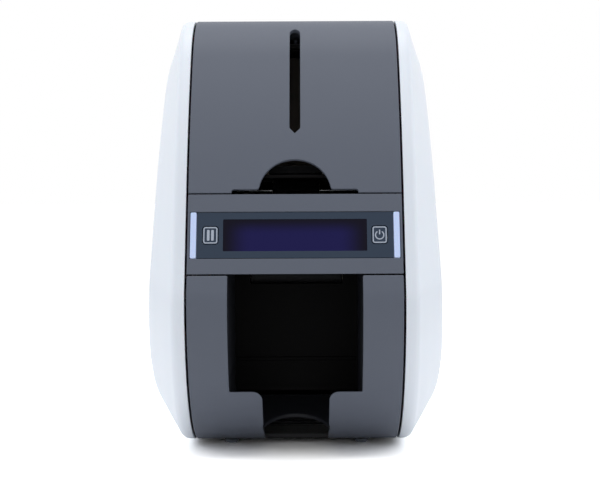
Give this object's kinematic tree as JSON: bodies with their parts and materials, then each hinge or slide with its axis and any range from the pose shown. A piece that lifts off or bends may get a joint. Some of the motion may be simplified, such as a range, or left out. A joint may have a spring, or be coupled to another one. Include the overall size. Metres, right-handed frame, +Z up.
{
  "type": "id card printer",
  "caption": "Desktop card printer: grey covers between white side shells, hinged hopper and top covers, display console, sliding output tray and the full card path.",
  "frame": {"origin": "on the table, under the middle of the printer", "axes": "+X to the right seen from the front, +Y from front to back, +Z up"},
  "size_m": [0.1776, 0.374, 0.269],
  "materials": {
    "shell_white": "smooth satin white moulding",
    "cover_grey": "fine matt grey moulding",
    "dark_plastic": "fine matt near-black moulding",
    "lens_dark": "glossy dark window",
    "display": "dark blue display glass",
    "light_bar": "frosted light guide",
    "board": "solder-masked circuit board",
    "steel": "zinc-plated sheet and rod",
    "rubber": "matt rubber",
    "bronze": "sintered bronze",
    "tacky": "tacky blue rubber",
    "lever_blue": "blue release part",
    "motor_grey": "dark painted can",
    "gear_plastic": "natural acetal",
    "aluminium": "extruded heat sink",
    "ceramic": "glazed ceramic bar",
    "cassette": "moulded cassette",
    "film": "thin dye film",
    "socket_metal": "plated socket shell"
  },
  "bodies": {
    "base": {"side_shell_left": "shell_white", "side_shell_right": "shell_white", "rear_cover": "dark_plastic", "console_frame": "cover_grey", "console_lens": "lens_dark", "lcd_module": "display", "light_bars": "light_bar", "button_board": "board", "bay_liner": "dark_plastic", "base_chassis": "dark_plastic", "frame_left": "steel", "frame_right": "steel", "tie_rods": "steel", "feet": "rubber", "hinge_pins": "steel", "bushings": "bronze", "screws": "steel", "magazine": "dark_plastic", "path_deck": "dark_plastic", "gear_motors": "motor_grey", "main_motor": "motor_grey", "drive_belts": "rubber", "ribbon_cassette": "cassette", "ribbon_film": "film", "return_chute": "dark_plastic", "fan_frame": "dark_plastic", "main_board": "board", "power_inlet": "dark_plastic", "switch_body": "dark_plastic", "data_sockets": "socket_metal"},
    "hopper": {"hopper_cover": "cover_grey"},
    "lid": {"top_cover": "cover_grey", "head_bracket": "aluminium", "thermal_head": "ceramic", "latch_spring": "steel"},
    "latch_key": {"latch_button": "cover_grey"},
    "hooks": {"latch_hooks": "dark_plastic"},
    "tray": {"output_tray": "cover_grey"},
    "pause_key": {"pause_button": "lens_dark"},
    "power_key": {"power_button": "lens_dark"},
    "weight": {"card_weight": "steel"},
    "gate": {"gate_lever": "lever_blue"},
    "pick": {"pick_roller": "rubber"},
    "feed": {"feed_roller": "rubber"},
    "platen": {"platen_roller": "rubber"},
    "transport": {"transport_roller": "rubber"},
    "exit": {"exit_roller": "rubber"},
    "cleaning": {"cleaning_roller": "tacky"},
    "pinch": {"pinch_roller": "rubber"},
    "exit_idler": {"exit_pinch": "rubber"},
    "turner": {"turner_frame": "dark_plastic"},
    "turner_drive": {"turner_roller": "rubber"},
    "turner_idler": {"turner_pinch": "rubber"},
    "pinion": {"turner_pinion": "gear_plastic"},
    "motor_rotor": {"motor_pulley": "steel"},
    "supply": {"supply_spool": "film"},
    "take_up": {"take_up_spool": "film"},
    "impeller": {"fan_impeller": "dark_plastic"},
    "rocker": {"power_rocker": "dark_plastic"}
  },
  "joints": [
    {"name": "hopper_hinge", "type": "hinge", "parent": "base", "child": "hopper", "pos_m": [0, -0.07923, 0.25889], "axis": [1, 0, 0], "range_deg": [-70, 0]},
    {"name": "lid_hinge", "type": "hinge", "parent": "base", "child": "lid", "pos_m": [0, 0.11715, 0.25245], "axis": [1, 0, 0], "range_deg": [-75, 0]},
    {"name": "latch_press", "type": "slide", "parent": "lid", "child": "latch_key", "axis": [0, 0, -1], "range_m": [0, 0.003], "stiffness_N_per_m": 400, "deforming": ["latch_spring"]},
    {"name": "latch_turn", "type": "hinge", "parent": "lid", "child": "hooks", "pos_m": [0, -0.05533, 0.25], "axis": [1, 0, 0], "range_deg": [0, 22]},
    {"name": "tray_slide", "type": "slide", "parent": "base", "child": "tray", "axis": [0, -1, 0], "range_m": [0, 0.09]},
    {"name": "pause_press", "type": "slide", "parent": "base", "child": "pause_key", "axis": [0, 0.9511, -0.309], "range_m": [0, 0.0008], "stiffness_N_per_m": 600},
    {"name": "power_press", "type": "slide", "parent": "base", "child": "power_key", "axis": [0, 0.9511, -0.309], "range_m": [0, 0.0008], "stiffness_N_per_m": 600},
    {"name": "weight_slide", "type": "slide", "parent": "base", "child": "weight", "axis": [0, 0, 1], "range_m": [0, 0.055]},
    {"name": "gate_slide", "type": "slide", "parent": "base", "child": "gate", "axis": [0, 0, 1], "range_m": [0, 0.001]},
    {"name": "platen_turn", "type": "hinge", "parent": "base", "child": "platen", "pos_m": [0, 0.022, 0.1595], "axis": [1, 0, 0], "continuous": true},
    {"name": "feed_turn", "type": "hinge", "parent": "base", "child": "feed", "pos_m": [0, -0.027, 0.1595], "axis": [1, 0, 0], "continuous": true},
    {"name": "pick_turn", "type": "hinge", "parent": "base", "child": "pick", "pos_m": [0, -0.0594, 0.1574], "axis": [1, 0, 0], "continuous": true},
    {"name": "transport_turn", "type": "hinge", "parent": "base", "child": "transport", "pos_m": [0, 0.054, 0.1595], "axis": [1, 0, 0], "continuous": true},
    {"name": "motor_turn", "type": "hinge", "parent": "base", "child": "motor_rotor", "pos_m": [0, 0.04, 0.062], "axis": [1, 0, 0], "continuous": true},
    {"name": "exit_turn", "type": "hinge", "parent": "base", "child": "exit", "pos_m": [0, -0.08025, 0.10124], "axis": [1, 0, 0], "continuous": true},
    {"name": "cleaning_turn", "type": "hinge", "parent": "base", "child": "cleaning", "pos_m": [0, -0.027, 0.173], "axis": [1, 0, 0], "continuous": true},
    {"name": "pinch_turn", "type": "hinge", "parent": "base", "child": "pinch", "pos_m": [0, 0.054, 0.173], "axis": [1, 0, 0], "continuous": true},
    {"name": "exit_idler_turn", "type": "hinge", "parent": "base", "child": "exit_idler", "pos_m": [0, -0.08369, 0.11222], "axis": [1, 0, 0], "continuous": true},
    {"name": "turner_tilt", "type": "hinge", "parent": "base", "child": "turner", "pos_m": [0, 0.108, 0.16625], "axis": [1, 0, 0], "range_deg": [0, 17.4]},
    {"name": "turner_drive_turn", "type": "hinge", "parent": "turner", "child": "turner_drive", "pos_m": [0, 0.108, 0.1605], "axis": [1, 0, 0], "continuous": true},
    {"name": "turner_idler_turn", "type": "hinge", "parent": "turner", "child": "turner_idler", "pos_m": [0, 0.108, 0.172], "axis": [1, 0, 0], "continuous": true},
    {"name": "pinion_turn", "type": "hinge", "parent": "base", "child": "pinion", "pos_m": [0, 0.12155, 0.14278], "axis": [1, 0, 0], "range_deg": [-50, 0]},
    {"name": "supply_turn", "type": "hinge", "parent": "base", "child": "supply", "pos_m": [0, 0.062, 0.203], "axis": [1, 0, 0], "continuous": true},
    {"name": "take_up_turn", "type": "hinge", "parent": "base", "child": "take_up", "pos_m": [0, -0.022, 0.203], "axis": [1, 0, 0], "continuous": true},
    {"name": "impeller_turn", "type": "hinge", "parent": "base", "child": "impeller", "pos_m": [0, 0.17167, 0.12196], "axis": [0, 0.9659, 0.2588], "continuous": true},
    {"name": "rocker_turn", "type": "hinge", "parent": "base", "child": "rocker", "pos_m": [-0.02, 0.1835, 0.0686], "axis": [1, 0, 0], "range_deg": [0, 16]}
  ],
  "couplings": [
    {"joint": "feed_turn", "follows": "platen_turn", "ratio": 1},
    {"joint": "pick_turn", "follows": "platen_turn", "ratio": 1},
    {"joint": "transport_turn", "follows": "platen_turn", "ratio": 1},
    {"joint": "motor_turn", "follows": "platen_turn", "ratio": 1.625},
    {"joint": "exit_turn", "follows": "platen_turn", "ratio": 1.625},
    {"joint": "cleaning_turn", "follows": "platen_turn", "ratio": -1},
    {"joint": "pinch_turn", "follows": "platen_turn", "ratio": -1},
    {"joint": "exit_idler_turn", "follows": "platen_turn", "ratio": -1.625},
    {"joint": "turner_drive_turn", "follows": "platen_turn", "ratio": 1.1818},
    {"joint": "turner_idler_turn", "follows": "platen_turn", "ratio": -1.1818},
    {"joint": "pinion_turn", "follows": "turner_tilt", "ratio": -2.8571},
    {"joint": "take_up_turn", "follows": "supply_turn", "ratio": 1.4444},
    {"joint": "latch_turn", "follows": "latch_press", "rad_per_m": 127.99}
  ]
}
